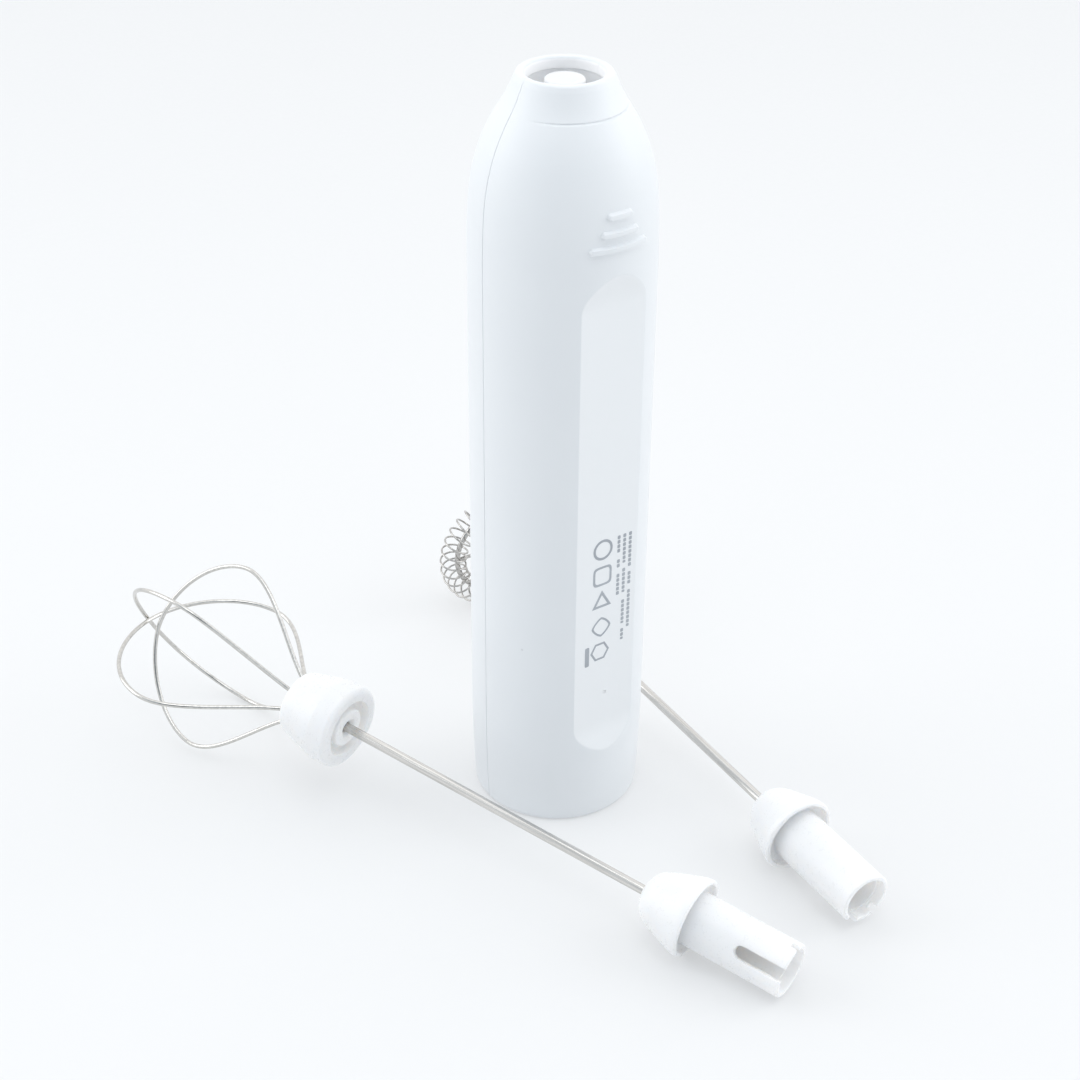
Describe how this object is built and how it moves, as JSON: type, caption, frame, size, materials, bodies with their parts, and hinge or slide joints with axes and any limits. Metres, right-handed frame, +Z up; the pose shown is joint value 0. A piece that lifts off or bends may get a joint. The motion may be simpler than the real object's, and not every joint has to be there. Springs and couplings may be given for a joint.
{
  "type": "milk frother",
  "caption": "Rechargeable handheld milk frother: upright bottle-shaped handle with a recessed drive post, lying beside it a balloon whisk and a coil-ring frother attachment.",
  "frame": {"origin": "centre of the handle's flat base, on the surface it stands on", "axes": "+Z up along the handle's axis and the motor's shaft; -Y towards the button; +Y towards the grip ribs and flat label facet; the shell seams lie at +X and -X"},
  "size_m": [0.1312, 0.1741, 0.176],
  "materials": {
    "white_body": "satin injection-moulded white ABS",
    "white_cup": "plain white moulded liner",
    "white_part": "glossy white moulded plastic",
    "button": "satin pale grey moulded plastic",
    "steel": "drawn stainless steel with fine lengthwise marks",
    "wire": "polished stainless spring wire",
    "can": "zinc plated drawn steel",
    "black": "matt black moulded plastic",
    "copper": "copper",
    "brass": "brass",
    "ferrite": "sintered ferrite magnet",
    "board": "green solder mask",
    "cell": "shrink sleeve",
    "rubber": "grey rubber",
    "clear": "clear plastic lens",
    "lead_red": "red insulation"
  },
  "bodies": {
    "handle": {"front_shell": "white_body", "rear_shell": "white_body", "base_cap": "white_body", "neck_cup": "white_cup", "shaft_seal": "rubber", "base_screw_right": "steel", "base_screw_left": "steel", "inner_frame": "black", "battery_cell": "cell", "battery_tab_lower": "steel", "battery_tab_upper": "steel", "circuit_board": "board", "board_screw_lower": "steel", "board_screw_upper": "steel", "tact_switch": "black", "status_led": "clear", "light_pipe": "clear", "charge_port": "steel", "charge_board": "board", "motor_can": "can", "motor_end_cap": "black", "motor_bush_front": "brass", "motor_bush_rear": "brass", "motor_magnet_right": "ferrite", "motor_magnet_left": "ferrite", "motor_brush_right": "copper", "motor_brush_left": "copper", "motor_terminal_right": "brass", "motor_terminal_left": "brass", "motor_mount": "black", "motor_screw_right": "steel", "motor_screw_left": "steel", "motor_lead_right": "lead_red", "motor_lead_left": "black", "charge_lead_right": "lead_red", "charge_lead_left": "black", "battery_lead_upper": "lead_red", "battery_lead_lower": "black"},
    "spindle": {"motor_shaft": "steel", "armature": "can", "commutator": "copper", "drive_post": "white_part"},
    "button": {"power_button": "button", "switch_plunger": "black"},
    "whisk_attachment": {"whisk_connector": "white_part", "whisk_rod": "steel", "whisk_hub": "white_part", "whisk_loop_a": "wire", "whisk_loop_b": "wire", "whisk_loop_c": "wire"},
    "frother_attachment": {"frother_connector": "white_part", "frother_rod": "steel", "frother_ring": "wire", "frother_coil": "wire"}
  },
  "joints": [
    {"name": "spindle_turn", "type": "hinge", "parent": "handle", "child": "spindle", "pos_m": [0, 0, 0.15], "axis": [0, 0, 1], "continuous": true},
    {"name": "button_press", "type": "slide", "parent": "handle", "child": "button", "axis": [0, 1, 0], "range_m": [0, 0.0005], "stiffness_N_per_m": 500, "springref_m": -0.001},
    {"name": "whisk_lift", "type": "slide", "parent": "handle", "child": "whisk_attachment", "axis": [0, 0, 1], "range_m": [0, 0.1]},
    {"name": "frother_lift", "type": "slide", "parent": "handle", "child": "frother_attachment", "axis": [0, 0, 1], "range_m": [0, 0.1]}
  ]
}
